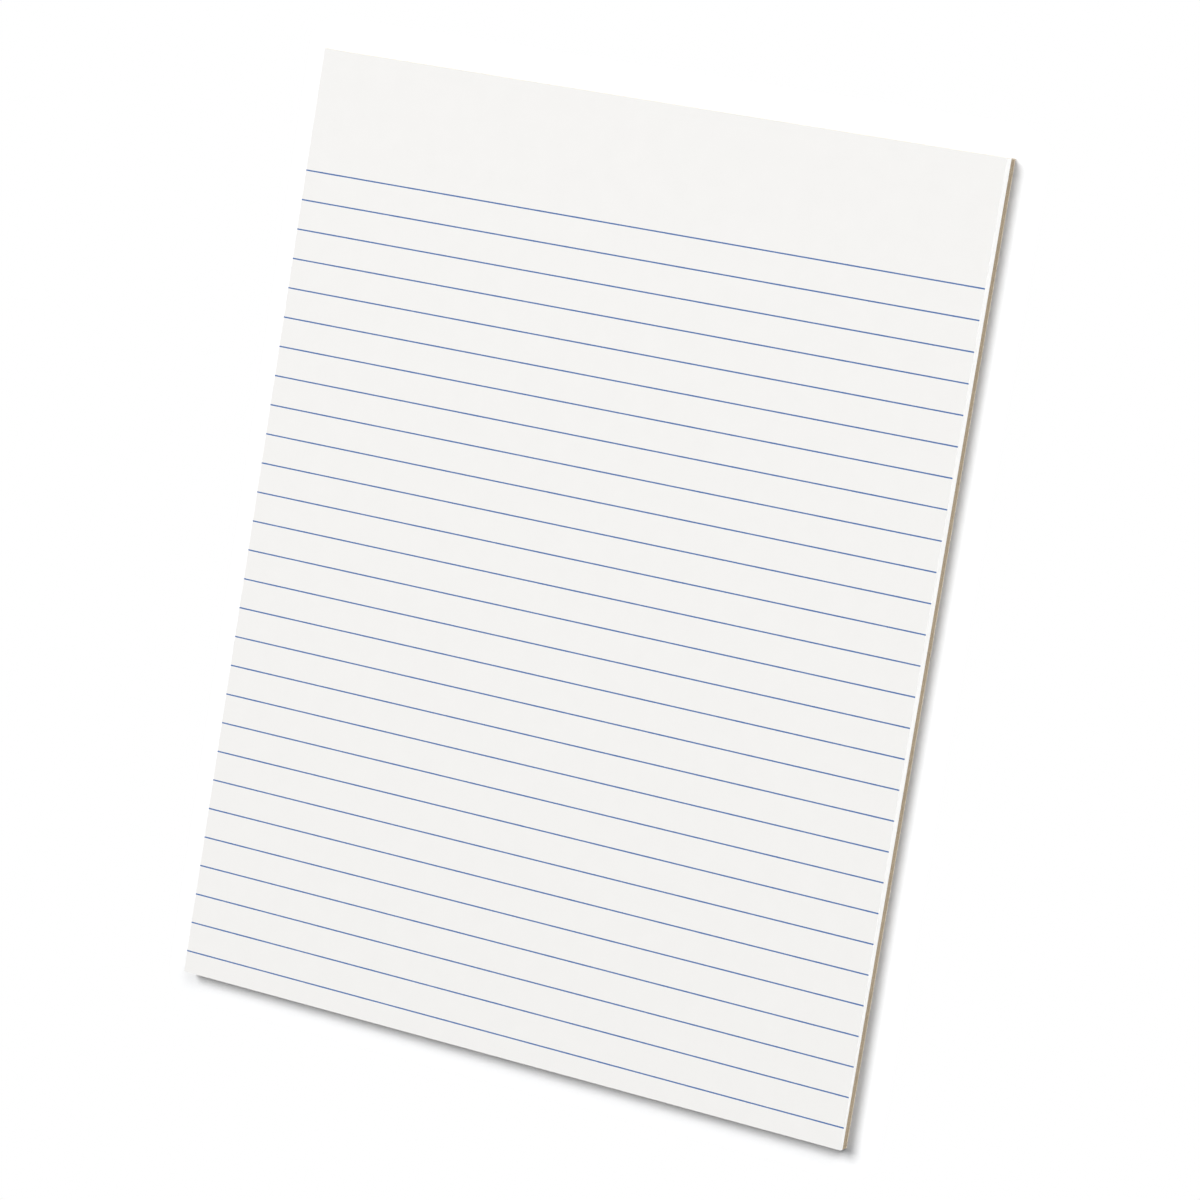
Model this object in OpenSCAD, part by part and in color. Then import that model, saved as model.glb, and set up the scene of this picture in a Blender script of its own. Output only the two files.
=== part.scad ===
// Glue top pad: a pile of ruled sheets on a backing board, bound by a film of padding glue along the head.
// The pad lies on its back. +X runs along the ruled lines, +Y towards the glued head and +Z out of the
// writing face. The origin is at the middle of the underside. All lengths are in millimetres.

/* [Sheets] */
// Width of a sheet, along the ruled lines
sheet_w = 215.9; // [100:0.1:300]
// Length of the top sheet, from the loose tail to the glued head
sheet_l = 279.4; // [150:0.1:360]
// Number of sheets in the pile
sheet_count = 50; // [20:1:100]
// Thickness of one sheet
sheet_t = 0.07; // [0.05:0.005:0.12]
// Most that a loose edge of a sheet lies back from the trim line
sheet_jog = 0.08; // [0.02:0.01:0.2]
// How far the board stands out past the top sheet at the tail, where the cut slants through the sheets
tail_slant = 0.6; // [0:0.05:1.5]
// Most that the top sheet stands out past the trim line on the right, at the tail
lean_out = 0.7; // [0.1:0.05:1.5]
// Length from the tail over which the right edges lean out
lean_l = 75; // [30:1:120]

/* [Ruling] */
// Distance from the head of the sheet to the first ruled line
first_line = 35.9; // [10:0.1:60]
// Spacing of the ruled lines, a wide rule of about 11/32 inch
line_pitch = 8.78; // [5:0.01:15]
// Least distance from the last ruled line to the tail of the sheet
tail_margin = 4; // [2:0.5:20]
// Width of a ruled line
line_w = 0.4; // [0.1:0.05:1]
// Height of the ink above the paper
ink_t = 0.02; // [0.01:0.01:0.05]

/* [Backing board] */
// Thickness of the backing board
board_t = 3.4; // [0.6:0.1:5]
// Radius that handling has rubbed on the board's loose lower edges
board_edge_r = 0.3; // [0.05:0.05:0.5]

/* [Glue film] */
// Thickness of the film on the head
glue_t = 0.4; // [0.3:0.05:1]
// Radius of the film's outer edges, at the writing face and at the underside
glue_edge_r = 0.2; // [0.05:0.05:0.25]

/* [Hidden] */

// Levels and limits that the pieces share
pile_t = sheet_count * sheet_t;
pad_t = board_t + pile_t;
board_l = sheet_l + tail_slant;
pad_l = board_l + glue_t;
side_x = sheet_w / 2;
tail_y = -pad_l / 2;
head_y = tail_y + board_l;
top_tail_y = head_y - sheet_l;

// Ruled lines that fit between the first one and the tail margin
line_count = floor((sheet_l - first_line - tail_margin) / line_pitch) + 1;

// Turn from one sheet to the next in the sequence that scatters their loose edges
jog_turn = 137.5;
// Starting turns of that sequence on the left side, the right side and the tail
left_turn = 0;
right_turn = 120;
tail_turn = 240;

// How far back the edge of a sheet lies, counting from the top sheet, which is on the trim line
function jog_back(i, turn) = i == 0 ? 0 : sheet_jog * (1 - cos(turn + i * jog_turn)) / 2;

// Tail edge of a sheet, counting from the top one, on the slanted cut from the top sheet down to the board
function tail_edge(i) = top_tail_y - tail_slant * i / sheet_count + jog_back(i, tail_turn);

// How far the right edge of a sheet leans out, at a distance up from the tail of the top sheet
function lean(i, up) = lean_out * (1 - i / sheet_count) * max(0, 1 - up / lean_l);

// Block section with both of its lower corners rounded, or the left one alone
module rounded_below(width, height, r, right = true) {
    translate([0, r]) square([width, height - r]);
    translate([r, 0]) square([right ? width - 2 * r : width - r, r]);
    translate([r, r]) circle(r, $fn = 64);
    if (right) translate([width - r, r]) circle(r, $fn = 64);
}

// Chipboard backing, trimmed with the sheets, with rubbed lower edges on its three loose sides
module backing_board() {
    color("#b8a68c") intersection() {
        translate([-side_x, head_y, 0])
            rotate([90, 0, 0])
                linear_extrude(board_l)
                    rounded_below(sheet_w, board_t, board_edge_r);
        translate([-side_x, tail_y, 0])
            rotate([90, 0, 90])
                linear_extrude(sheet_w)
                    rounded_below(board_l, board_t, board_edge_r, right = false);
    }
}

// One sheet of the pile, counting down from the top one, flush with the others at the glued head
module sheet(i) {
    left_x = -side_x + jog_back(i, left_turn);
    right_x = side_x - jog_back(i, right_turn);
    low_y = tail_edge(i);
    translate([0, 0, pad_t - (i + 1) * sheet_t])
        linear_extrude(sheet_t)
            polygon([
                [left_x, low_y],
                [right_x + lean(i, low_y - top_tail_y), low_y],
                [right_x, top_tail_y + lean_l],
                [right_x, head_y],
                [left_x, head_y]
            ]);
}

// Pile of sheets as one solid, with every sheet's own edge on the three loose sides
module sheet_pile() {
    color("#f6f5f3") union() {
        for (i = [0 : sheet_count - 1]) sheet(i);
    }
}

// Blue ruled lines, printed from one side of the top sheet to the other, out to where its right edge leans
module ruled_lines() {
    color("#6a8fbc") for (i = [0 : line_count - 1]) {
        line_y = head_y - first_line - i * line_pitch - line_w / 2;
        translate([-side_x, line_y, pad_t])
            cube([sheet_w + lean(0, line_y + line_w - top_tail_y), line_w, ink_t]);
    }
}

// Film of padding glue on the head of sheets and board, with its outer edges drawn round by the brush
module glue_film() {
    color("#efede6") translate([-side_x, head_y + glue_t, 0])
        rotate([180, -90, 0])
            linear_extrude(sheet_w)
                rounded_below(pad_t, glue_t, glue_edge_r);
}

backing_board();
sheet_pile();
ruled_lines();
glue_film();
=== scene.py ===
"""Looks of a glue top pad: ruled sheets and a chipboard back, bound by padding glue along the head.

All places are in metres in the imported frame: +X runs along the ruled lines, +Y towards the glued head
and +Z up, out of the writing face. Each piece is a surface worked out with numpy that stands where its
solid stands.
"""

from __future__ import annotations

import logging
import math
from dataclasses import dataclass, field
from enum import Enum, IntEnum
from typing import Any, Mapping, Sequence

import bpy
import numpy as np
from mathutils import Matrix, Vector
from numpy.typing import NDArray


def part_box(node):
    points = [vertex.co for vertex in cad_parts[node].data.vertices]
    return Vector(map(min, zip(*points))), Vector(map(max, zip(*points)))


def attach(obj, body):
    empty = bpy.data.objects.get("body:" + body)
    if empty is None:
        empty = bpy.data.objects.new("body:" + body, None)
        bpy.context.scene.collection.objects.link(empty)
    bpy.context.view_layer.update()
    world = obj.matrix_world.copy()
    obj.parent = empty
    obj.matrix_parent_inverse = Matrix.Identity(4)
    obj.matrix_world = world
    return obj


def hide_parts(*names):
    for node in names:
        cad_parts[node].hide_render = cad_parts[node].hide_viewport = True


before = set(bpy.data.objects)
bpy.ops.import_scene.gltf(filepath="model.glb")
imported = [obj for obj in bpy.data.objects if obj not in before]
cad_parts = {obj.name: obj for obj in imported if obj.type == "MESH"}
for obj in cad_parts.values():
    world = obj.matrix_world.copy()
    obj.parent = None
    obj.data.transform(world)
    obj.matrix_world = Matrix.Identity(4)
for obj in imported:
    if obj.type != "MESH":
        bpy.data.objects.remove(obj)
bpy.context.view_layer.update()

Floats = NDArray[np.float64]
Indices = NDArray[np.int64]
Colour = tuple[float, float, float, float]

LOG = logging.getLogger("glue_top_pad")
MM = 0.001

# Sockets of the colour form of the Mix node, which shares its input names with the other forms
MIX_FACTOR = 0
MIX_A = 6
MIX_B = 7
MIX_RESULT = 2

# Points down the side of one layer of a stack: its upper edge, its lower edge and the groove below
LAYER_POINTS = 3


def linear(hex_colour: str) -> Colour:
    """Turns an sRGB colour into linear light.

    The sRGB curve is a straight line close to black and a power of 2.4 above it.

    Args:
        hex_colour: Colour such as #f6f5f3.

    Returns:
        Red, green and blue, and one for the alpha.
    """
    levels = np.array([int(hex_colour[at:at + 2], 16) for at in (1, 3, 5)]) / 255.0
    light = np.where(levels <= 0.04045, levels / 12.92, ((levels + 0.055) / 1.055) ** 2.4)
    return (*light.tolist(), 1.0)


def direction(azimuth: float, elevation: float) -> Vector:
    """Unit vector towards an azimuth, anticlockwise from +X, and an elevation, both in radians."""
    flat = math.cos(elevation)
    return Vector((flat * math.cos(azimuth), flat * math.sin(azimuth), math.sin(elevation)))


def add_node(
    tree: bpy.types.NodeTree,
    kind: str,
    inputs: Mapping[str | int, Any] | None = None,
    **settings: Any,
) -> bpy.types.Node:
    """Adds a node, sets its properties and fills or links its inputs.

    Args:
        tree: Tree that the node goes into.
        kind: Blender's name for the kind of node.
        inputs: Input name or number to a plain value, or to the output socket that feeds it.
        **settings: The node's own properties.

    Returns:
        The new node.
    """
    node = tree.nodes.new(kind)
    for name, value in settings.items():
        setattr(node, name, value)
    for key, value in (inputs or {}).items():
        if isinstance(value, bpy.types.NodeSocket):
            tree.links.new(value, node.inputs[key])
        else:
            node.inputs[key].default_value = value
    return node


def seen_rays(tree: bpy.types.NodeTree) -> bpy.types.NodeSocket:
    """Tells rays that show a surface or its mirror image from rays that carry light.

    Args:
        tree: Tree of a material or of the world.

    Returns:
        An output that is one for the rays that show and zero for the others.
    """
    path = add_node(tree, "ShaderNodeLightPath")
    mirrored = add_node(
        tree,
        "ShaderNodeMath",
        {0: path.outputs["Is Glossy Ray"], 1: path.outputs["Is Transmission Ray"]},
        operation="MAXIMUM",
    )
    return add_node(
        tree,
        "ShaderNodeMath",
        {0: path.outputs["Is Camera Ray"], 1: mirrored.outputs[0]},
        operation="MAXIMUM",
    ).outputs[0]


@dataclass(frozen=True)
class Finish:
    """A finish that is made once as a node material and worn by one or more surfaces."""

    name: str

    def shader(self, tree: bpy.types.NodeTree) -> bpy.types.NodeSocket:
        """Fills the tree and returns the output that goes to the surface."""
        raise NotImplementedError

    def material(self) -> bpy.types.Material:
        """Makes the node material of this finish.

        Returns:
            A material whose only nodes are those of the shader method and the output.
        """
        material = bpy.data.materials.new(self.name)
        material.use_nodes = True
        tree = material.node_tree
        tree.nodes.clear()
        add_node(tree, "ShaderNodeOutputMaterial", {"Surface": self.shader(tree)})
        return material


@dataclass(frozen=True)
class WritingPaper(Finish):
    """Uncoated wood-free writing paper: matt, a touch warm, faintly cloudy and toothed, hardly any gloss."""

    name: str = "uncoated_writing_paper"
    dense: str = "#f7f6f4"
    sparse: str = "#f4f3f1"
    cloud: float = 7.0 * MM
    cloud_detail: float = 4.0
    # The real tooth is about 0.2 mm, which is finer than a pixel, so it is drawn coarser
    tooth: float = 0.9 * MM
    tooth_detail: float = 3.0
    tooth_height: float = 0.004 * MM
    roughness: float = 0.9
    ior: float = 1.5
    specular: float = 0.2

    def shader(self, tree: bpy.types.NodeTree) -> bpy.types.NodeSocket:
        """Clouds of denser and thinner pulp in the colour, and a fine tooth in the bump.

        Args:
            tree: The material's node tree.

        Returns:
            The output that goes to the surface.
        """
        place = add_node(tree, "ShaderNodeTexCoord").outputs["Object"]
        cloud = add_node(
            tree,
            "ShaderNodeTexNoise",
            {"Vector": place, "Scale": 1.0 / self.cloud, "Detail": self.cloud_detail},
        )
        colour = add_node(
            tree,
            "ShaderNodeMix",
            {MIX_FACTOR: cloud.outputs[0], MIX_A: linear(self.sparse), MIX_B: linear(self.dense)},
            data_type="RGBA",
        )
        tooth = add_node(
            tree,
            "ShaderNodeTexNoise",
            {"Vector": place, "Scale": 1.0 / self.tooth, "Detail": self.tooth_detail},
        )
        bump = add_node(
            tree,
            "ShaderNodeBump",
            {"Strength": 1.0, "Distance": self.tooth_height, "Height": tooth.outputs[0]},
        )
        return add_node(
            tree,
            "ShaderNodeBsdfPrincipled",
            {
                "Base Color": colour.outputs[MIX_RESULT],
                "Roughness": self.roughness,
                "IOR": self.ior,
                "Specular IOR Level": self.specular,
                "Normal": bump.outputs[0],
            },
        ).outputs[0]


@dataclass(frozen=True)
class CutLeafEdges(Finish):
    """Guillotined paper edges: whiter than the face, partly painted light, with painted shade streaked
    between leaves.
    """

    name: str = "guillotined_paper_edges"
    # Whiter than the face's paper, which partly paints light onto the cut sides
    leaf: str = "#fbfbfa"
    # Tone of the streaks: painted shade in the lines between leaves
    painted_gap_shade: str = "#f5f5f3"
    # A leaf is 0.07 mm, which is finer than a pixel, so the painted shade lines fall between bundles of
    # leaves
    bundle: float = 0.3 * MM
    run: float = 60.0 * MM
    streak_detail: float = 2.0
    # Levels of the noise from which painted shade turns into leaf and at which all is leaf
    leaf_levels: tuple[float, float] = (0.3, 0.6)
    roughness: float = 0.95
    ior: float = 1.5
    specular: float = 0.1

    def shader(self, tree: bpy.types.NodeTree) -> bpy.types.NodeSocket:
        """Long thin streaks of painted shade along the sides, a bundle of leaves high.

        Args:
            tree: The material's node tree.

        Returns:
            The output that goes to the surface.
        """
        place = add_node(tree, "ShaderNodeTexCoord").outputs["Object"]
        streaks = add_node(
            tree,
            "ShaderNodeMapping",
            {"Vector": place, "Scale": (1.0 / self.run, 1.0 / self.run, 1.0 / self.bundle)},
        )
        noise = add_node(
            tree,
            "ShaderNodeTexNoise",
            {"Vector": streaks.outputs[0], "Scale": 1.0, "Detail": self.streak_detail},
        )
        share = add_node(
            tree,
            "ShaderNodeMapRange",
            {
                "Value": noise.outputs[0],
                "From Min": self.leaf_levels[0],
                "From Max": self.leaf_levels[1],
            },
        )
        # Streaks of painted shade mixed into the leaf colour
        colour = add_node(
            tree,
            "ShaderNodeMix",
            {MIX_FACTOR: share.outputs[0], MIX_A: linear(self.painted_gap_shade), MIX_B: linear(self.leaf)},
            data_type="RGBA",
        )
        return add_node(
            tree,
            "ShaderNodeBsdfPrincipled",
            {
                "Base Color": colour.outputs[MIX_RESULT],
                "Roughness": self.roughness,
                "IOR": self.ior,
                "Specular IOR Level": self.specular,
            },
        ).outputs[0]


@dataclass(frozen=True)
class Chipboard(Finish):
    """Chipboard pressed from waste paper: matt grey-tan felt with flecks, in plies, paler in a band along its
    bottom.

    The levels are those of a noise between which clouds or fibres come out. A strength is the most that
    clouds, fibres or flecks change the colour below them.
    """

    name: str = "raw_chipboard"
    core: str = "#a3937b"
    # Colour of a band along the board's lowest part, paler than the core
    pale_bottom: str = "#e3d6c2"
    dark_fleck: str = "#776956"
    pale_fibre: str = "#d8cdbb"
    ply: float = 0.5 * MM
    pale_bottom_depth: float = 0.9 * MM
    # Share of its depth up to which the pale bottom band is pure; above it, it gives way to the core
    pale_bottom_pure: float = 0.6
    cloud: float = 14.0 * MM
    cloud_detail: float = 5.0
    cloud_levels: tuple[float, float] = (0.35, 0.75)
    cloud_strength: float = 0.22
    fibre_length: float = 3.0 * MM
    # A fibre is about 0.03 mm wide, which is finer than a pixel, so it is drawn as a wider strand
    fibre_width: float = 0.35 * MM
    fibre_turns: tuple[float, float] = (0.4, 1.9)
    fibre_detail: float = 2.0
    fibre_levels: tuple[float, float] = (0.52, 0.75)
    fibre_strength: float = 0.4
    felt_height: float = 0.03 * MM
    fleck_spacing: float = 4.0 * MM
    fleck: float = 0.45 * MM
    # Share of a fleck's radius that is fully dark
    fleck_core: float = 0.5
    fleck_strength: float = 0.7
    roughness: float = 0.92
    ior: float = 1.5
    specular: float = 0.2

    def shader(self, tree: bpy.types.NodeTree) -> bpy.types.NodeSocket:
        """Pale band below and core above, clouded, crossed by pale fibres both ways and dotted with flecks.

        Args:
            tree: The material's node tree.

        Returns:
            The output that goes to the surface.
        """
        place = add_node(tree, "ShaderNodeTexCoord").outputs["Object"]
        height = add_node(tree, "ShaderNodeSeparateXYZ", {"Vector": place}).outputs["Z"]
        above_pale_bottom = add_node(
            tree,
            "ShaderNodeMapRange",
            {
                "Value": height,
                "From Min": self.pale_bottom_pure * self.pale_bottom_depth,
                "From Max": self.pale_bottom_depth,
            },
        )
        ground = add_node(
            tree,
            "ShaderNodeMix",
            {MIX_FACTOR: above_pale_bottom.outputs[0], MIX_A: linear(self.pale_bottom), MIX_B: linear(self.core)},
            data_type="RGBA",
        ).outputs[MIX_RESULT]

        cloud = add_node(
            tree,
            "ShaderNodeTexNoise",
            {"Vector": place, "Scale": 1.0 / self.cloud, "Detail": self.cloud_detail},
        )
        cloud_share = add_node(
            tree,
            "ShaderNodeMapRange",
            {
                "Value": cloud.outputs[0],
                "From Min": self.cloud_levels[0],
                "From Max": self.cloud_levels[1],
                "To Max": self.cloud_strength,
            },
        )
        clouded = add_node(
            tree,
            "ShaderNodeMix",
            {MIX_FACTOR: cloud_share.outputs[0], MIX_A: ground, MIX_B: linear(self.dark_fleck)},
            data_type="RGBA",
        ).outputs[MIX_RESULT]

        strands = []
        for turn in self.fibre_turns:
            lay = add_node(
                tree,
                "ShaderNodeMapping",
                {
                    "Vector": place,
                    "Rotation": (0.0, 0.0, turn),
                    "Scale": (1.0 / self.fibre_length, 1.0 / self.fibre_width, 1.0 / self.ply),
                },
            )
            noise = add_node(
                tree,
                "ShaderNodeTexNoise",
                {"Vector": lay.outputs[0], "Scale": 1.0, "Detail": self.fibre_detail},
            )
            strands.append(noise.outputs[0])
        felt = add_node(
            tree, "ShaderNodeMath", {0: strands[0], 1: strands[1]}, operation="MAXIMUM"
        ).outputs[0]
        fibre_share = add_node(
            tree,
            "ShaderNodeMapRange",
            {
                "Value": felt,
                "From Min": self.fibre_levels[0],
                "From Max": self.fibre_levels[1],
                "To Max": self.fibre_strength,
            },
        )
        felted = add_node(
            tree,
            "ShaderNodeMix",
            {MIX_FACTOR: fibre_share.outputs[0], MIX_A: clouded, MIX_B: linear(self.pale_fibre)},
            data_type="RGBA",
        ).outputs[MIX_RESULT]

        cells = add_node(
            tree, "ShaderNodeTexVoronoi", {"Vector": place, "Scale": 1.0 / self.fleck_spacing}
        )
        reach = self.fleck / self.fleck_spacing
        fleck_share = add_node(
            tree,
            "ShaderNodeMapRange",
            {
                "Value": cells.outputs["Distance"],
                "From Min": self.fleck_core * reach,
                "From Max": reach,
                "To Min": self.fleck_strength,
                "To Max": 0.0,
            },
        )
        colour = add_node(
            tree,
            "ShaderNodeMix",
            {MIX_FACTOR: fleck_share.outputs[0], MIX_A: felted, MIX_B: linear(self.dark_fleck)},
            data_type="RGBA",
        ).outputs[MIX_RESULT]
        bump = add_node(
            tree, "ShaderNodeBump", {"Strength": 1.0, "Distance": self.felt_height, "Height": felt}
        )
        return add_node(
            tree,
            "ShaderNodeBsdfPrincipled",
            {
                "Base Color": colour,
                "Roughness": self.roughness,
                "IOR": self.ior,
                "Specular IOR Level": self.specular,
                "Normal": bump.outputs[0],
            },
        ).outputs[0]


@dataclass(frozen=True)
class PaddingGlue(Finish):
    """Dried padding glue: satin and half clear, so what is below shows where the brush left it thin."""

    name: str = "dried_padding_glue"
    board_top: float = field(kw_only=True)
    thick: str = "#f7f5f0"
    over_leaves: str = "#f2efe8"
    over_board: str = "#bcab91"
    blur: float = 0.12 * MM
    streak: float = 0.5 * MM
    stroke: float = 45.0 * MM
    streak_detail: float = 3.0
    streak_height: float = 0.02 * MM
    # Levels of the noise between which the glue turns milky, and how much of the milk shows at most
    milk_levels: tuple[float, float] = (0.35, 0.75)
    milk_strength: float = 0.6
    roughness: float = 0.38
    ior: float = 1.47
    # Light wanders inside the film over a fraction of a millimetre, red light the furthest
    scatter: float = 0.25
    scatter_reach: float = 0.4 * MM
    scatter_colour: tuple[float, float, float] = (1.0, 0.9, 0.75)

    def shader(self, tree: bpy.types.NodeTree) -> bpy.types.NodeSocket:
        """Board below and leaves above, seen through streaks along X that are milky where they are thick.

        Args:
            tree: The material's node tree.

        Returns:
            The output that goes to the surface.
        """
        place = add_node(tree, "ShaderNodeTexCoord").outputs["Object"]
        height = add_node(tree, "ShaderNodeSeparateXYZ", {"Vector": place}).outputs["Z"]
        above_board = add_node(
            tree,
            "ShaderNodeMapRange",
            {
                "Value": height,
                "From Min": self.board_top - self.blur,
                "From Max": self.board_top + self.blur,
            },
            interpolation_type="SMOOTHSTEP",
        )
        ground = add_node(
            tree,
            "ShaderNodeMix",
            {
                MIX_FACTOR: above_board.outputs[0],
                MIX_A: linear(self.over_board),
                MIX_B: linear(self.over_leaves),
            },
            data_type="RGBA",
        ).outputs[MIX_RESULT]
        strokes = add_node(
            tree,
            "ShaderNodeMapping",
            {"Vector": place, "Scale": (1.0 / self.stroke, 1.0 / self.streak, 1.0 / self.streak)},
        )
        noise = add_node(
            tree,
            "ShaderNodeTexNoise",
            {"Vector": strokes.outputs[0], "Scale": 1.0, "Detail": self.streak_detail},
        )
        milk = add_node(
            tree,
            "ShaderNodeMapRange",
            {
                "Value": noise.outputs[0],
                "From Min": self.milk_levels[0],
                "From Max": self.milk_levels[1],
                "To Max": self.milk_strength,
            },
        )
        colour = add_node(
            tree,
            "ShaderNodeMix",
            {MIX_FACTOR: milk.outputs[0], MIX_A: ground, MIX_B: linear(self.thick)},
            data_type="RGBA",
        )
        bump = add_node(
            tree,
            "ShaderNodeBump",
            {"Strength": 1.0, "Distance": self.streak_height, "Height": noise.outputs[0]},
        )
        return add_node(
            tree,
            "ShaderNodeBsdfPrincipled",
            {
                "Base Color": colour.outputs[MIX_RESULT],
                "Roughness": self.roughness,
                "IOR": self.ior,
                "Subsurface Weight": self.scatter,
                "Subsurface Radius": self.scatter_colour,
                "Subsurface Scale": self.scatter_reach,
                "Normal": bump.outputs[0],
            },
        ).outputs[0]


@dataclass(frozen=True)
class RulingInk(Finish):
    """Water-based ruling ink soaked into paper: matt blue, a little paler where the sheet took less of it."""

    name: str = "blue_ruling_ink"
    full: str = "#486da8"
    pale: str = "#587cb4"
    mottle: float = 1.2 * MM
    mottle_detail: float = 2.0
    roughness: float = 0.85
    ior: float = 1.5
    specular: float = 0.2

    def shader(self, tree: bpy.types.NodeTree) -> bpy.types.NodeSocket:
        """Fuller and paler stretches along each line.

        Args:
            tree: The material's node tree.

        Returns:
            The output that goes to the surface.
        """
        place = add_node(tree, "ShaderNodeTexCoord").outputs["Object"]
        mottle = add_node(
            tree,
            "ShaderNodeTexNoise",
            {"Vector": place, "Scale": 1.0 / self.mottle, "Detail": self.mottle_detail},
        )
        colour = add_node(
            tree,
            "ShaderNodeMix",
            {MIX_FACTOR: mottle.outputs[0], MIX_A: linear(self.full), MIX_B: linear(self.pale)},
            data_type="RGBA",
        )
        return add_node(
            tree,
            "ShaderNodeBsdfPrincipled",
            {
                "Base Color": colour.outputs[MIX_RESULT],
                "Roughness": self.roughness,
                "IOR": self.ior,
                "Specular IOR Level": self.specular,
            },
        ).outputs[0]


@dataclass(frozen=True)
class StudioFloor(Finish):
    """Matt white sweep: it takes the pad's shadow, and a little way out it runs into plain white."""

    name: str = "matt_white_sweep"
    half_size: tuple[float, float, float] = field(kw_only=True)
    white: str = "#ffffff"
    # Glow that only the camera sees near the pad: painted light that lightens and cools the pad's shadow
    painted_shadow_glow: str = "#42464b"
    near: float = 4.5 * MM
    far: float = 10.0 * MM

    def shader(self, tree: bpy.types.NodeTree) -> bpy.types.NodeSocket:
        """Lit white near the pad, with a faint cool glow of painted light that lightens its shadow, and unlit
        white further out.

        The distance from the pad's outline is the length of what is left of the place, without its signs,
        once half of the outline's size is taken off and nothing is left below zero.

        Args:
            tree: The material's node tree.

        Returns:
            The output that goes to the surface.
        """
        place = add_node(tree, "ShaderNodeTexCoord").outputs["Object"]
        folded = add_node(tree, "ShaderNodeVectorMath", {0: place}, operation="ABSOLUTE")
        past = add_node(
            tree, "ShaderNodeVectorMath", {0: folded.outputs[0], 1: self.half_size}, operation="SUBTRACT"
        )
        beside = add_node(tree, "ShaderNodeVectorMath", {0: past.outputs[0]}, operation="MAXIMUM")
        distance = add_node(tree, "ShaderNodeVectorMath", {0: beside.outputs[0]}, operation="LENGTH")
        seen = seen_rays(tree)
        outside = add_node(
            tree,
            "ShaderNodeMapRange",
            {"Value": distance.outputs["Value"], "From Min": self.near, "From Max": self.far},
            interpolation_type="SMOOTHSTEP",
        )
        share = add_node(tree, "ShaderNodeMath", {0: seen, 1: outside.outputs[0]}, operation="MULTIPLY")
        matt = add_node(tree, "ShaderNodeBsdfDiffuse", {"Color": linear(self.white)})
        # Painted light: this glow lifts the shadow near the pad for the camera alone
        glow = add_node(tree, "ShaderNodeEmission", {"Color": linear(self.painted_shadow_glow), "Strength": seen})
        lit = add_node(tree, "ShaderNodeAddShader", {0: matt.outputs[0], 1: glow.outputs[0]})
        plain = add_node(tree, "ShaderNodeEmission", {"Color": linear(self.white), "Strength": 1.0})
        return add_node(
            tree, "ShaderNodeMixShader", {0: share.outputs[0], 1: lit.outputs[0], 2: plain.outputs[0]}
        ).outputs[0]


class Side(IntEnum):
    """Loose sides of the pad, in the order of the columns that hold their values."""

    LEFT = 0
    RIGHT = 1
    TAIL = 2


def wobble(along: Floats, rows: int, waves: Sequence[float], rng: np.random.Generator) -> Floats:
    """Mean of one sine per wavelength, each row with phases of its own.

    Args:
        along: Distances at which to sample, (count,) in metres.
        rows: Number of independent rows.
        waves: Wavelengths in metres.
        rng: Source of the phases.

    Returns:
        Values from -1 to 1, (rows, count).
    """
    phase = rng.uniform(0.0, 2.0 * math.pi, (len(waves), rows, 1))
    turn = 2.0 * math.pi * along / np.asarray(waves)[:, None, None]
    return np.sin(turn + phase).mean(axis=0)


def layer_levels(high: float, layers: int, thick: float, edge_round: float) -> Floats:
    """Heights down the side of a stack: its top, and each layer's two edges and the groove below it.

    Args:
        high: Height of the stack's top.
        layers: Number of layers.
        thick: Thickness of one layer.
        edge_round: Height from a layer's upper or lower face to its edge on the side.

    Returns:
        Heights from the top down, (1 + LAYER_POINTS * layers,).
    """
    top = high - np.arange(layers)[:, None] * thick
    edges = np.hstack([top - edge_round, top - thick + edge_round, top - thick])
    return np.concatenate([[high], edges.ravel()])


def layer_setbacks(layers: Floats, groove: float) -> Floats:
    """Setbacks at the heights of layer_levels: a groove is deeper than the layers above and below it.

    Args:
        layers: Setback of each layer on each side, (layers, sides).
        groove: How much further back a groove lies than the further back of its two layers.

    Returns:
        Setbacks from the top down, (1 + LAYER_POINTS * layers, sides).
    """
    under = np.vstack([layers[1:], layers[-1:]])
    grooves = np.maximum(layers, under) + groove
    rows = np.stack([layers, layers, grooves], axis=1).reshape(-1, layers.shape[1])
    return np.concatenate([layers[:1], rows])


def grid_quads(index: Indices) -> Indices:
    """Quads of a grid of vertex numbers, (u, v), that face out if u, v and the way out are right-handed."""
    corners = [index[:-1, :-1], index[1:, :-1], index[1:, 1:], index[:-1, 1:]]
    return np.stack(corners, axis=2).reshape(-1, 4)


def facing_grids(outer: Floats, inner: Floats) -> tuple[Floats, Indices]:
    """Closes two facing grids into a thin body: the outer, the inner turned round, and a rim between.

    Args:
        outer: Points of the grid that shows, (u, v, 3), with u, v and the way out right-handed.
        inner: Points of the grid behind it, (u, v, 3).

    Returns:
        Vertices and quads.
    """
    index = np.arange(outer.shape[0] * outer.shape[1]).reshape(outer.shape[:2])
    front = grid_quads(index)
    rim = np.concatenate([index[:-1, 0], index[-1, :-1], index[:0:-1, -1], index[0, :0:-1]])
    after = np.roll(rim, -1)
    walls = np.stack([rim, rim + index.size, after + index.size, after], axis=1)
    quads = np.concatenate([front, front[:, ::-1] + index.size, walls])
    return np.concatenate([outer.reshape(-1, 3), inner.reshape(-1, 3)]), quads


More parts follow.
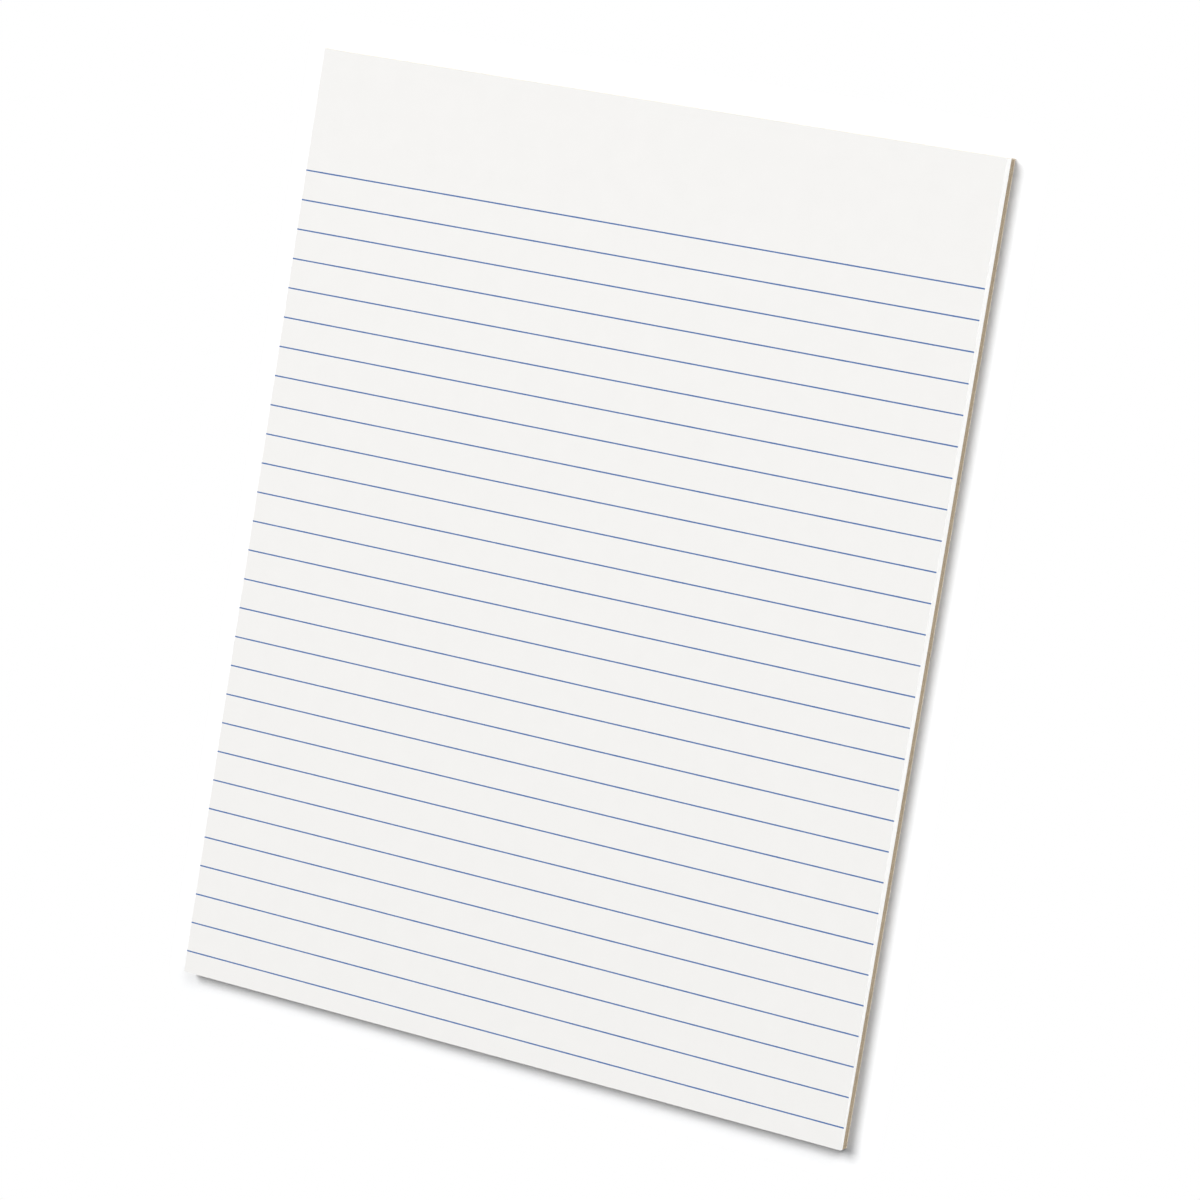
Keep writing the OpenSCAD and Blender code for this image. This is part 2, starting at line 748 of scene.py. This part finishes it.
@dataclass(frozen=True)
class TrimLine:
    """Rectangle that the board was cut to, walked anticlockwise from its left tail corner.

    The sheets were cut with it. At the tail the cut slants, so the upper sheets lie back from it, the top
    one by tail_slant. On the right the upper sheets lean out past it: the top one by lean_out at its tail,
    and all of them less and less over lean_length.
    """

    left: float
    right: float
    tail: float
    head: float
    lean_out: float
    step: float
    lean_length: float = 75.0 * MM
    tail_slant: float = 0.6 * MM

    @classmethod
    def of_pad(cls, step: float) -> TrimLine:
        """Trim line of the board, with the lean of the sheets over it, sampled about one step apart."""
        low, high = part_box("backing_board")
        return cls(low.x, high.x, low.y, high.y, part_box("sheet_pile")[1].x - high.x, step)

    def lean(self, y: Floats) -> Floats:
        """How far the top sheet's right edge leans out: in full at its tail, falling evenly to none."""
        up = y - self.tail - self.tail_slant
        return self.lean_out * np.clip(1.0 - up / self.lean_length, 0.0, 1.0)

    @property
    def across(self) -> Floats:
        """Grid lines from the left side to the right side."""
        return np.linspace(self.left, self.right, round((self.right - self.left) / self.step) + 1)

    @property
    def along(self) -> Floats:
        """Grid lines from the tail to the head."""
        return np.linspace(self.tail, self.head, round((self.head - self.tail) / self.step) + 1)

    def walk(self) -> tuple[Floats, Floats]:
        """Walks round the rectangle.

        Returns:
            Points and the way out at each, both (count, 2). The way out is -1, 0 or 1 on each axis: a side
            faces one way, and a corner faces out of both of its sides.
        """
        x, y = self.across, self.along
        points = np.concatenate([
            np.stack([x[:-1], np.full(len(x) - 1, self.tail)], axis=1),
            np.stack([np.full(len(y) - 1, self.right), y[:-1]], axis=1),
            np.stack([x[:0:-1], np.full(len(x) - 1, self.head)], axis=1),
            np.stack([np.full(len(y) - 1, self.left), y[:0:-1]], axis=1),
        ])
        out_x = 1.0 * (points[:, 0] == self.right) - (points[:, 0] == self.left)
        out_y = 1.0 * (points[:, 1] == self.head) - (points[:, 1] == self.tail)
        return points, np.stack([out_x, out_y], axis=1)

    def walked(self) -> Floats:
        """Distance walked from the start to each point of the walk."""
        strides = np.linalg.norm(np.diff(self.walk()[0], axis=0), axis=1)
        return np.concatenate([[0.0], np.cumsum(strides)])

    def rings(self, levels: Floats, back: Floats) -> Floats:
        """Rings at the given heights, drawn back from the trim line on the three loose sides.

        A point of the left or right side moves inwards along X by its own setback, and one of the tail
        along Y. The head stays on the line.

        Args:
            levels: Heights, (levels,).
            back: Setbacks at each level, side and point of the walk, (levels, sides, points).

        Returns:
            Ring points, (levels, points, 3).
        """
        points, out = self.walk()
        x = points[:, 0] + (out[:, 0] < 0) * back[:, Side.LEFT] - (out[:, 0] > 0) * back[:, Side.RIGHT]
        y = points[:, 1] + (out[:, 1] < 0) * back[:, Side.TAIL]
        return np.stack([x, y, np.broadcast_to(levels[:, None], x.shape)], axis=2)

    def block(self, rings: Floats) -> tuple[Floats, Indices, Indices]:
        """Closes rings, from the top one to the bottom one, into a block.

        Walls join each ring to the next, and a grid on the grid lines fills the first ring and the last.

        Args:
            rings: Ring points, (levels, points, 3).

        Returns:
            Vertices, the quads of the walls and the quads of the two grids.
        """
        levels, count, _ = rings.shape
        index = np.arange(levels * count).reshape(levels, count)
        after = np.roll(index, -1, axis=1)
        walls = np.stack([index[:-1], index[1:], after[1:], after[:-1]], axis=2).reshape(-1, 4)

        x, y = np.meshgrid(self.across[1:-1], self.along[1:-1], indexing="ij")
        fills = [
            np.stack([x, y, np.full(x.shape, ring[0, 2])], axis=2).reshape(-1, 3)
            for ring in (rings[0], rings[-1])
        ]
        top = self._grid(index[0], index.size)
        bottom = self._grid(index[-1], index.size + x.size)
        vertices = np.concatenate([rings.reshape(-1, 3), *fills])
        return vertices, walls, np.concatenate([top, bottom[:, ::-1]])

    def _grid(self, ring: Indices, first: int) -> Indices:
        """Joins a ring and the points inside it into a grid.

        Args:
            ring: Vertex numbers of the ring, which is the grid's border.
            first: Vertex number of the first point inside.

        Returns:
            Quads that face up, (count, 4).
        """
        across = len(self.across)
        along = len(self.along)
        index = np.empty((across, along), dtype=np.int64)
        tail, right, head, left = np.split(ring, np.cumsum([across - 1, along - 1, across - 1]))
        index[:-1, 0] = tail
        index[-1, :-1] = right
        index[:0:-1, -1] = head
        index[0, :0:-1] = left
        inside = (across - 2, along - 2)
        index[1:-1, 1:-1] = first + np.arange(math.prod(inside)).reshape(inside)
        return grid_quads(index)


@dataclass
class Piece:
    """A piece of the pad that stands for one CAD node and rides on the pad's only body."""

    name: str
    node: str
    slot: str
    seed: int
    # About how far apart the grid lines of the surface are
    step: float
    # Angle in radians under which neighbouring faces shade as one; None leaves them flat
    smooth_below: float | None = None

    def build(self) -> bpy.types.Object:
        """Works out the surface and returns the placed object."""
        raise NotImplementedError

    def place(
        self,
        vertices: Floats,
        quads: Indices,
        finishes: Sequence[Finish],
        finish_of_quad: Indices | None = None,
    ) -> bpy.types.Object:
        """Makes the object, dresses it and ties it to the frame.

        Args:
            vertices: Points in the frame, (count, 3).
            quads: Corner numbers of each face, (faces, 4), anticlockwise from outside.
            finishes: Finishes in the order of the material slots.
            finish_of_quad: Number of the finish that each face wears. All wear the first if left out.

        Returns:
            The object that is in the scene.
        """
        mesh = bpy.data.meshes.new(self.name)
        mesh.from_pydata(vertices.tolist(), [], quads.tolist())
        for finish in finishes:
            mesh.materials.append(finish.material())
        if finish_of_quad is not None:
            mesh.polygons.foreach_set("material_index", finish_of_quad.astype(np.int32))
        if self.smooth_below is not None:
            mesh.shade_smooth()
            mesh.set_sharp_from_angle(angle=self.smooth_below)
        mesh.update()
        piece = bpy.data.objects.new(self.name, mesh)
        bpy.context.scene.collection.objects.link(piece)
        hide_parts(self.node)
        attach(piece, "root")
        LOG.info("%s: %d faces, stands for %s", self.name, len(quads), self.node)
        return piece


@dataclass
class LeafPile(Piece):
    """The sheets: one pile whose loose sides show the cut edge of every leaf."""

    name: str = "leaf_pile"
    node: str = "sheet_pile"
    slot: str = "paper"
    seed: int = 7
    step: float = 4.0 * MM
    leaves: int = 50
    jog: float = 0.012 * MM
    # Angles of the jog: its start on each loose side, and its turn from leaf to leaf
    jog_starts: tuple[float, float, float] = (0.0, math.radians(120.0), math.radians(240.0))
    jog_turn: float = math.radians(137.5)
    groove: float = 0.003 * MM
    edge_round: float = 0.006 * MM
    # Share of its jog that a leaf already has at the glued head
    held_share: float = 0.4
    waver: float = 0.006 * MM
    waver_waves: tuple[float, ...] = (0.047, 0.091, 0.163)

    def build(self) -> bpy.types.Object:
        """Builds the pile.

        Leaf i, counted from the top one, lies back from the trim line by
        jog * (1 - cos(start + i * turn)) / 2, where each loose side has its own start. The setback grows
        from the glued head towards the tail, and a slow waver is added. The top leaf has neither of them.
        Two points per leaf make its edge, and a deeper one between two leaves the groove. On the right each
        leaf leans out, and at the tail it lies back on the slanted cut, by the share of the top leaf's lean
        or slant that its height in the pile gives.

        Returns:
            The pile's object.
        """
        rng = np.random.default_rng(self.seed)
        trim = TrimLine.of_pad(self.step)
        low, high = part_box(self.node)
        levels = layer_levels(high.z, self.leaves, (high.z - low.z) / self.leaves, self.edge_round)

        leaf = np.arange(self.leaves)[:, None]
        jog = 0.5 * self.jog * (1.0 - np.cos(np.asarray(self.jog_starts) + leaf * self.jog_turn))
        jog[0] = 0.0
        back = layer_setbacks(jog, self.groove)
        back[-1] = jog[-1]
        waver = wobble(trim.walked(), self.leaves, self.waver_waves, rng) * self.waver
        waver[0] = 0.0
        waver = np.vstack([waver[:1], np.repeat(waver, LAYER_POINTS, axis=0)])

        y = trim.walk()[0][:, 1]
        slack = (trim.head - y) / (trim.head - trim.tail)
        held = self.held_share + (1.0 - self.held_share) * slack
        setback = np.maximum(back[:, :, None] * held + waver[:, None, :], 0.0)
        height = ((levels - low.z) / (high.z - low.z))[:, None]
        setback[:, Side.RIGHT] -= height * trim.lean(y)
        setback[:, Side.TAIL] += height * trim.tail_slant

        vertices, walls, faces = trim.block(trim.rings(levels, setback))
        finishes = (WritingPaper(), CutLeafEdges())
        # The walls wear the cut edges, and the top and the underside the paper
        wears = np.repeat([1, 0], [len(walls), len(faces)])
        return self.place(vertices, np.concatenate([walls, faces]), finishes, wears)


@dataclass
class BoardBack(Piece):
    """The chipboard: plies that show on the cut sides, and a lower edge that handling has rubbed round."""

    name: str = "chipboard_back"
    node: str = "backing_board"
    slot: str = "chipboard"
    seed: int = 11
    step: float = 2.5 * MM
    smooth_below: float | None = math.radians(35.0)
    plies: int = 7
    ply_setback: float = 0.035 * MM
    ply_groove: float = 0.025 * MM
    ply_round: float = 0.06 * MM
    rubbed: float = 0.3 * MM
    rub_steps: int = 6
    # Most that the rubbed radius changes along a side, as a share of it
    rub_waver: float = 0.3
    waver: float = 0.015 * MM
    waver_waves: tuple[float, ...] = (0.011, 0.023, 0.061)

    def build(self) -> bpy.types.Object:
        """Builds the board.

        Down each loose side the plies lie back by small amounts of their own, with a groove between two
        plies. Below them a quarter circle of the rubbed radius, which wavers along the side, turns into the
        underside.

        Returns:
            The board's object.
        """
        rng = np.random.default_rng(self.seed)
        trim = TrimLine.of_pad(self.step)
        low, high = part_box(self.node)
        walked = trim.walked()

        ply_t = (high.z - low.z - self.rubbed) / self.plies
        ply_levels = layer_levels(high.z, self.plies, ply_t, self.ply_round)
        ply_back = rng.uniform(0.0, self.ply_setback, (self.plies, len(Side)))
        back = layer_setbacks(ply_back, self.ply_groove)
        back[0] += self.ply_groove
        back[-1] = 0.0
        waver = wobble(walked, len(ply_levels), self.waver_waves, rng) * self.waver
        waver[-1] = 0.0
        sides = np.maximum(back[:, :, None] + waver[:, None, :], 0.0)

        angle = np.linspace(0.0, 0.5 * math.pi, self.rub_steps + 1)[1:]
        rub_levels = low.z + self.rubbed * (1.0 - np.sin(angle))
        radius = self.rubbed * (1.0 + self.rub_waver * wobble(walked, 1, self.waver_waves, rng))
        on_sides = np.broadcast_to(radius, (1, len(Side), len(walked)))
        rub = (1.0 - np.cos(angle))[:, None, None] * on_sides

        levels = np.concatenate([ply_levels, rub_levels])
        vertices, walls, faces = trim.block(trim.rings(levels, np.concatenate([sides, rub])))
        return self.place(vertices, np.concatenate([walls, faces]), (Chipboard(),))


@dataclass
class BrushedGlue(Piece):
    """The glue film on the head, with the brush's streaks along it and both outer edges drawn round."""

    name: str = "brushed_glue"
    node: str = "glue_film"
    slot: str = "padding_glue"
    seed: int = 23
    step: float = 2.0 * MM
    smooth_below: float | None = math.radians(40.0)
    rows: int = 72
    edge_round: float = 0.2 * MM
    streak: float = 0.035 * MM
    streak_waves: tuple[float, ...] = (0.00043, 0.00071, 0.0013)
    # Most that the phase of the streaks drifts along the film, in radians
    drift: float = 2.2
    drift_waves: tuple[float, ...] = (0.039, 0.083, 0.151)

    def build(self) -> bpy.types.Object:
        """Builds the film.

        Its thickness over the head, at x along and z up, is the full one, less a quarter circle near each
        outer edge, less streaks: sines in z whose phase drifts slowly along x, which die out at the outer
        edges.

        Returns:
            The film's object.
        """
        rng = np.random.default_rng(self.seed)
        low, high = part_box(self.node)
        x = np.linspace(low.x, high.x, round((high.x - low.x) / self.step) + 1)
        # Rows crowd towards the two edges, as cos does at its ends
        z = low.z + (high.z - low.z) * 0.5 * (1.0 - np.cos(np.linspace(0.0, math.pi, self.rows)))
        inset = np.clip(self.edge_round - np.minimum(z - low.z, high.z - z), 0.0, self.edge_round)
        full = (high.y - low.y) - self.edge_round + np.sqrt(self.edge_round**2 - inset**2)

        drift = wobble(x, len(self.streak_waves), self.drift_waves, rng) * self.drift
        start = rng.uniform(0.0, 2.0 * math.pi, (len(self.streak_waves), 1, 1))
        turn = 2.0 * math.pi * z[None, None, :] / np.asarray(self.streak_waves)[:, None, None]
        ridges = np.sin(turn + start + drift[:, :, None]).mean(axis=0)
        fade = 1.0 - inset / self.edge_round
        thick = full - self.streak * 0.5 * (1.0 + ridges) * fade

        across, up = np.meshgrid(x, z, indexing="ij")
        outer = np.stack([across, low.y + thick, up], axis=2)
        inner = np.stack([across, np.full(across.shape, low.y), up], axis=2)
        # With x reversed, x, z and the way out of the head are right-handed
        vertices, quads = facing_grids(outer[::-1], inner[::-1])
        glue = PaddingGlue(board_top=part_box("backing_board")[1].z)
        return self.place(vertices, quads, (glue,))


@dataclass
class RuledInk(Piece):
    """The printed lines: low ribbons of ink from side to side, as wide as the CAD lines."""

    name: str = "ruled_ink"
    node: str = "ruled_lines"
    slot: str = "ruling_ink"
    seed: int = 31
    step: float = 2.0 * MM
    width: float = 0.4 * MM
    pitch: float = 8.78 * MM
    # Most that a line's width changes along it, as a share of it
    waver: float = 0.06
    waver_waves: tuple[float, ...] = (0.0061, 0.0137, 0.041)
    # Section across a line: places as shares of the width, and heights as shares of the ink's height
    section_at: tuple[float, ...] = (-0.5, -0.36, 0.36, 0.5)
    section_up: tuple[float, ...] = (0.35, 1.0, 1.0, 0.35)

    def build(self) -> bpy.types.Object:
        """Builds the lines.

        A low trapezium section, whose width wavers by a few hundredths, is carried along X once per line,
        from the left side to the right edge of the top sheet.

        Returns:
            The object that holds all lines.
        """
        rng = np.random.default_rng(self.seed)
        low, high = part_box(self.node)
        count = round((high.y - low.y - self.width) / self.pitch) + 1
        middles = np.linspace(low.y, high.y - self.width, count) + 0.5 * self.width
        trim = TrimLine.of_pad(self.step)
        share = (trim.across - trim.left) / (trim.right - trim.left)
        ends = trim.right + trim.lean(middles + 0.5 * self.width)
        x = trim.left + (ends[:, None] - trim.left) * share
        width = self.width * (1.0 + self.waver * wobble(trim.across, count, self.waver_waves, rng))

        shape = (*x.shape, len(self.section_at))
        y = middles[:, None, None] + width[:, :, None] * np.asarray(self.section_at)
        z = low.z + (high.z - low.z) * np.broadcast_to(self.section_up, shape)
        along = np.broadcast_to(x[:, :, None], shape)
        outer = np.stack([along, y, z], axis=3)
        inner = np.stack([along, y, np.full(shape, low.z)], axis=3)

        bodies = [facing_grids(over, under) for over, under in zip(outer, inner)]
        vertices = np.concatenate([points for points, _ in bodies])
        size = len(vertices) // count
        quads = np.concatenate([faces + number * size for number, (_, faces) in enumerate(bodies)])
        return self.place(vertices, quads, (RulingInk(),))


@dataclass(frozen=True)
class LampPlace:
    """Where a lamp hangs over the pad's middle, how wide it looks from there and how much it lights.

    Angles are in degrees and the distance is in metres. Light of one, on a surface that faces the lamp,
    shows a colour as it is written.
    """

    azimuth: float
    elevation: float
    spread: float
    distance: float
    light: float


class Lamp(Enum):
    """The soft round lamps.

    The key lamp is over the pad's upper left and the fill lamp over its upper right. The side lamp is low
    on the right and lights the pad alone, as a small card would.
    """

    KEY = LampPlace(azimuth=123.8, elevation=62.8, spread=27.8, distance=8.5, light=0.850)
    FILL = LampPlace(azimuth=53.4, elevation=47.0, spread=25.8, distance=8.5, light=0.24)
    SIDE = LampPlace(azimuth=-28.0, elevation=3.0, spread=6.0, distance=4.5, light=0.505)

    def hang(self, lights: bpy.types.Collection | None = None) -> None:
        """Hangs the lamp, turned to the pad's middle.

        Args:
            lights: The objects that it lights, or None where it lights all.
        """
        place = self.value
        data = bpy.data.lights.new(f"{self.name.lower()}_lamp", "AREA")
        data.shape = "DISK"
        data.size = 2.0 * place.distance * math.tan(0.5 * math.radians(place.spread))
        data.energy = place.light * (math.pi * place.distance) ** 2
        lamp = bpy.data.objects.new(data.name, data)
        towards = direction(math.radians(place.azimuth), math.radians(place.elevation))
        lamp.location = place.distance * towards
        lamp.rotation_mode = "QUATERNION"
        lamp.rotation_quaternion = towards.to_track_quat("Z", "Y")
        lamp.visible_camera = False
        lamp.light_linking.receiver_collection = lights
        if lights is not None:
            # What it lights throws no light on, so the floor stays free of the board's colour
            data.cycles.max_bounces = 0
        bpy.context.scene.collection.objects.link(lamp)


@dataclass
class Studio:
    """Floor, soft light and the camera at the photograph's angle."""

    floor_size: float = 30.0
    sky: float = 0.082
    white: str = "#ffffff"
    sensor: float = 36.0
    lens: float = 124.51
    # The photograph's line of sight meets the picture a little above its middle
    shift_y: float = -0.04
    target: tuple[float, float] = (6.16 * MM, 11.06 * MM)
    distance: float = 1186.6 * MM
    azimuth: float = math.radians(14.272)
    elevation: float = math.radians(64.441)
    roll: float = math.radians(9.189)

    def lay_floor(self) -> None:
        """Lays one large square under the pad."""
        half = 0.5 * self.floor_size
        corners = [(-half, -half, 0.0), (half, -half, 0.0), (half, half, 0.0), (-half, half, 0.0)]
        mesh = bpy.data.meshes.new("floor")
        mesh.from_pydata(corners, [], [(0, 1, 2, 3)])
        low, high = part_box("backing_board")
        sweep = StudioFloor(half_size=(high.x, -low.y, 0.0))
        mesh.materials.append(sweep.material())
        floor = bpy.data.objects.new("floor", mesh)
        bpy.context.scene.collection.objects.link(floor)

    def light(self, pad: bpy.types.Collection) -> None:
        """Hangs the lamps under an even sky that shows as white.

        Args:
            pad: The pad's pieces, which the side lamp lights alone.
        """
        Lamp.KEY.hang()
        Lamp.FILL.hang()
        Lamp.SIDE.hang(pad)
        world = bpy.data.worlds.new("soft_white_sky")
        world.use_nodes = True
        tree = world.node_tree
        tree.nodes.clear()
        white = linear(self.white)
        lit = add_node(tree, "ShaderNodeBackground", {"Color": white, "Strength": self.sky})
        seen = add_node(tree, "ShaderNodeBackground", {"Color": white, "Strength": 1.0})
        mixed = add_node(
            tree, "ShaderNodeMixShader", {0: seen_rays(tree), 1: lit.outputs[0], 2: seen.outputs[0]}
        )
        add_node(tree, "ShaderNodeOutputWorld", {"Surface": mixed.outputs[0]})
        bpy.context.scene.world = world

    def set_camera(self) -> None:
        """Sets the camera over the pad, looking at the target on the writing face.

        The picture's up is the pad's +Y as the camera sees it, turned by the roll about the line of sight.
        """
        face_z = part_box("sheet_pile")[1].z
        target = Vector((*self.target, face_z))
        back = direction(self.azimuth, self.elevation)
        up = Vector((0.0, 1.0, 0.0))
        up = (up - up.dot(back) * back).normalized()
        up.rotate(Matrix.Rotation(self.roll, 3, back))
        right = up.cross(back)
        data = bpy.data.cameras.new("photo_camera")
        data.sensor_width = self.sensor
        data.lens = self.lens
        data.shift_y = self.shift_y
        camera = bpy.data.objects.new("photo_camera", data)
        turn = Matrix((right, up, back)).transposed().to_4x4()
        camera.matrix_world = Matrix.Translation(target + self.distance * back) @ turn
        bpy.context.scene.collection.objects.link(camera)
        bpy.context.scene.camera = camera


def main() -> None:
    """Builds the studio and the pieces in order and notes each piece in the log."""
    logging.basicConfig(level=logging.INFO, format="%(name)s: %(message)s")
    bpy.context.scene.view_settings.view_transform = "Standard"
    studio = Studio()
    studio.set_camera()
    studio.lay_floor()
    pad = bpy.data.collections.new("pad")
    studio.light(pad)
    for piece in (BoardBack(), LeafPile(), RuledInk(), BrushedGlue()):
        pad.objects.link(piece.build())


if __name__ == "__main__":
    main()
